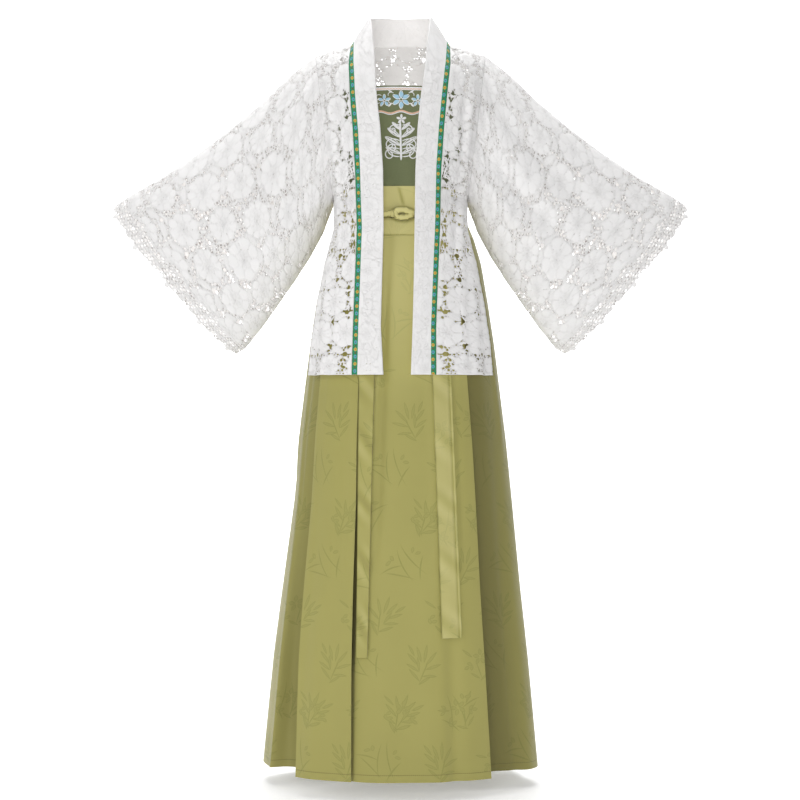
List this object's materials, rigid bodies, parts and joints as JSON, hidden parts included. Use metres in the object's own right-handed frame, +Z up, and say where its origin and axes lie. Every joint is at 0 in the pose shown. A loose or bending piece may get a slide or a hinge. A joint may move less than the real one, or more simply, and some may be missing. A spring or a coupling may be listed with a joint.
{
  "type": "hanfu robe set of lace jacket, chest top and wrap skirt",
  "caption": "Hanfu set in its worn, hollow form: an open lace jacket with wide sleeves, a wrapped chest top, and a long wrap skirt with belt and hanging ties.",
  "frame": {"origin": "between the shoulders, level with the points where they meet the neck, where the wearer carries the set", "axes": "+Z up, front faces -Y, +X is the wearer's left"},
  "size_m": [1.0178, 0.3422, 1.3282],
  "materials": {
    "lace": "matt white cotton guipure lace",
    "ribbon": "woven green ribbon with a small repeat",
    "chest_cloth": "matt dark green cloth with stitching",
    "skirt_cloth": "olive cloth with a tonal woven pattern and a soft sheen"
  },
  "bodies": {
    "root": {"jacket_back": "lace", "jacket_front_right": "lace", "jacket_front_left": "lace", "neckband": "lace", "sleeve_right_front": "lace", "sleeve_right_back": "lace", "sleeve_left_front": "lace", "sleeve_left_back": "lace", "neck_ribbon": "ribbon", "chest_top": "chest_cloth", "waistband": "skirt_cloth", "belt": "skirt_cloth", "belt_knot": "skirt_cloth", "tie_right": "skirt_cloth", "tie_left": "skirt_cloth", "skirt_front": "skirt_cloth", "skirt_front_right": "skirt_cloth", "skirt_back": "skirt_cloth"}
  },
  "joints": []
}
